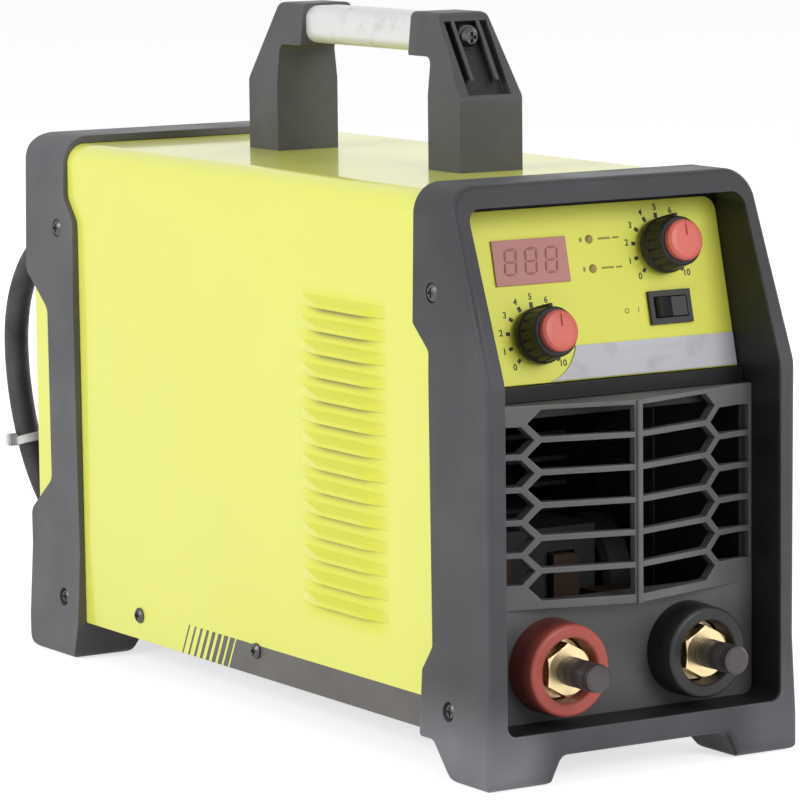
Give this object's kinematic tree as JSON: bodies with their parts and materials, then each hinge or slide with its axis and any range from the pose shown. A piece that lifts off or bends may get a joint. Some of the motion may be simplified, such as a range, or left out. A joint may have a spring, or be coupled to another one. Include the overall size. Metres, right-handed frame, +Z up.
{
  "type": "stick welding inverter",
  "caption": "Portable stick welding inverter: sheet cover with louvred sides, moulded front and rear frames, carrying handle, output studs, dials, fan and power lead.",
  "frame": {"origin": "on the floor, under the middle of the machine's box, measured without the power lead", "axes": "+Z up, -Y to the front where the controls are, +X to the right of someone who looks at the front"},
  "size_m": [0.223, 0.506, 0.262],
  "materials": {
    "bezel_plastic": "textured dark grey moulding",
    "bumper_plastic": "textured dark grey moulding",
    "handle_plastic": "textured dark grey moulding",
    "grille_plastic": "dark moulding",
    "cover_paint": "gloss powder coat, lime yellow",
    "panel_print": "lime yellow overlay",
    "strip_metal": "brushed",
    "display_lens": "smoked red window",
    "display_dark": "black",
    "lamp_amber": "unlit amber",
    "circuit_green": "solder mask",
    "pot_metal": "plated",
    "knob_black": "black",
    "knob_red": "red cap",
    "switch_black": "black",
    "collar_red": "red insulator",
    "collar_black": "black insulator",
    "brass": "turned brass",
    "stud_steel": "plated steel",
    "grip_metal": "satin",
    "screw_steel": "blackened",
    "panel_steel": "black powder coat",
    "tray_steel": "black powder coat",
    "guard_steel": "bright wire",
    "fan_plastic": "black",
    "gland_plastic": "black",
    "cord_rubber": "black rubber",
    "sink_alloy": "extruded",
    "capacitor_sleeve": "dark sleeve",
    "ferrite": "ferrite",
    "copper": "copper"
  },
  "bodies": {
    "housing": {"base_tray": "tray_steel", "bezel_screws": "screw_steel", "board_standoffs": "pot_metal", "bulk_capacitors": "capacitor_sleeve", "bumper_screws": "screw_steel", "busbars": "copper", "control_board": "circuit_green", "control_panel": "panel_print", "cord_coil": "cord_rubber", "cord_gland": "gland_plastic", "cord_tail": "cord_rubber", "cover_screws": "screw_steel", "current_potentiometer": "pot_metal", "display_module": "display_dark", "display_window": "display_lens", "earth_nuts": "brass", "earth_stud": "brass", "fan_frame": "fan_plastic", "fan_guard": "guard_steel", "fan_screws": "screw_steel", "force_potentiometer": "pot_metal", "front_bezel": "bezel_plastic", "front_grille": "grille_plastic", "handle_bar": "grip_metal", "handle_front_post": "handle_plastic", "handle_rear_post": "handle_plastic", "handle_screws": "screw_steel", "heat_sinks": "sink_alloy", "indicator_lamps": "lamp_amber", "main_board": "circuit_green", "mode_switch_housing": "switch_black", "negative_collar": "collar_black", "negative_stud": "stud_steel", "output_choke": "ferrite", "panel_strip": "strip_metal", "plug_pins": "brass", "positive_collar": "collar_red", "positive_stud": "stud_steel", "potentiometer_nuts": "pot_metal", "power_cord": "cord_rubber", "power_plug": "cord_rubber", "power_switch_housing": "switch_black", "rear_bumper": "bumper_plastic", "rear_panel": "panel_steel", "rectifier": "ferrite", "strain_relief": "cord_rubber", "terminal_nuts": "brass", "top_cover": "cover_paint", "transformer_core": "ferrite", "transformer_winding": "copper"},
    "current_dial": {"current_spindle": "pot_metal", "current_knob": "knob_black", "current_knob_cap": "knob_red"},
    "force_dial": {"force_spindle": "pot_metal", "force_knob": "knob_black", "force_knob_cap": "knob_red"},
    "mode_switch": {"mode_rocker": "switch_black"},
    "power_switch": {"power_rocker": "switch_black"},
    "fan_wheel": {"fan_rotor": "fan_plastic"}
  },
  "joints": [
    {"name": "current_dial_turn", "type": "hinge", "parent": "housing", "child": "current_dial", "pos_m": [0.0318, -0.12642, 0.18054], "axis": [0, -0.972, 0.2351], "range_deg": [-135, 135]},
    {"name": "force_dial_turn", "type": "hinge", "parent": "housing", "child": "force_dial", "pos_m": [-0.026, -0.13307, 0.15303], "axis": [0, -0.972, 0.2351], "range_deg": [-135, 135]},
    {"name": "mode_rocker_tilt", "type": "hinge", "parent": "housing", "child": "mode_switch", "pos_m": [0.032, -0.13193, 0.15944], "axis": [0, 0.2351, 0.972], "range_deg": [-18, 0]},
    {"name": "power_rocker_tilt", "type": "hinge", "parent": "housing", "child": "power_switch", "pos_m": [0.03, 0.166, 0.16], "axis": [1, 0, 0], "range_deg": [0, 18]},
    {"name": "fan_spin", "type": "hinge", "parent": "housing", "child": "fan_wheel", "pos_m": [0, 0.15, 0.08], "axis": [0, 1, 0], "continuous": true}
  ]
}
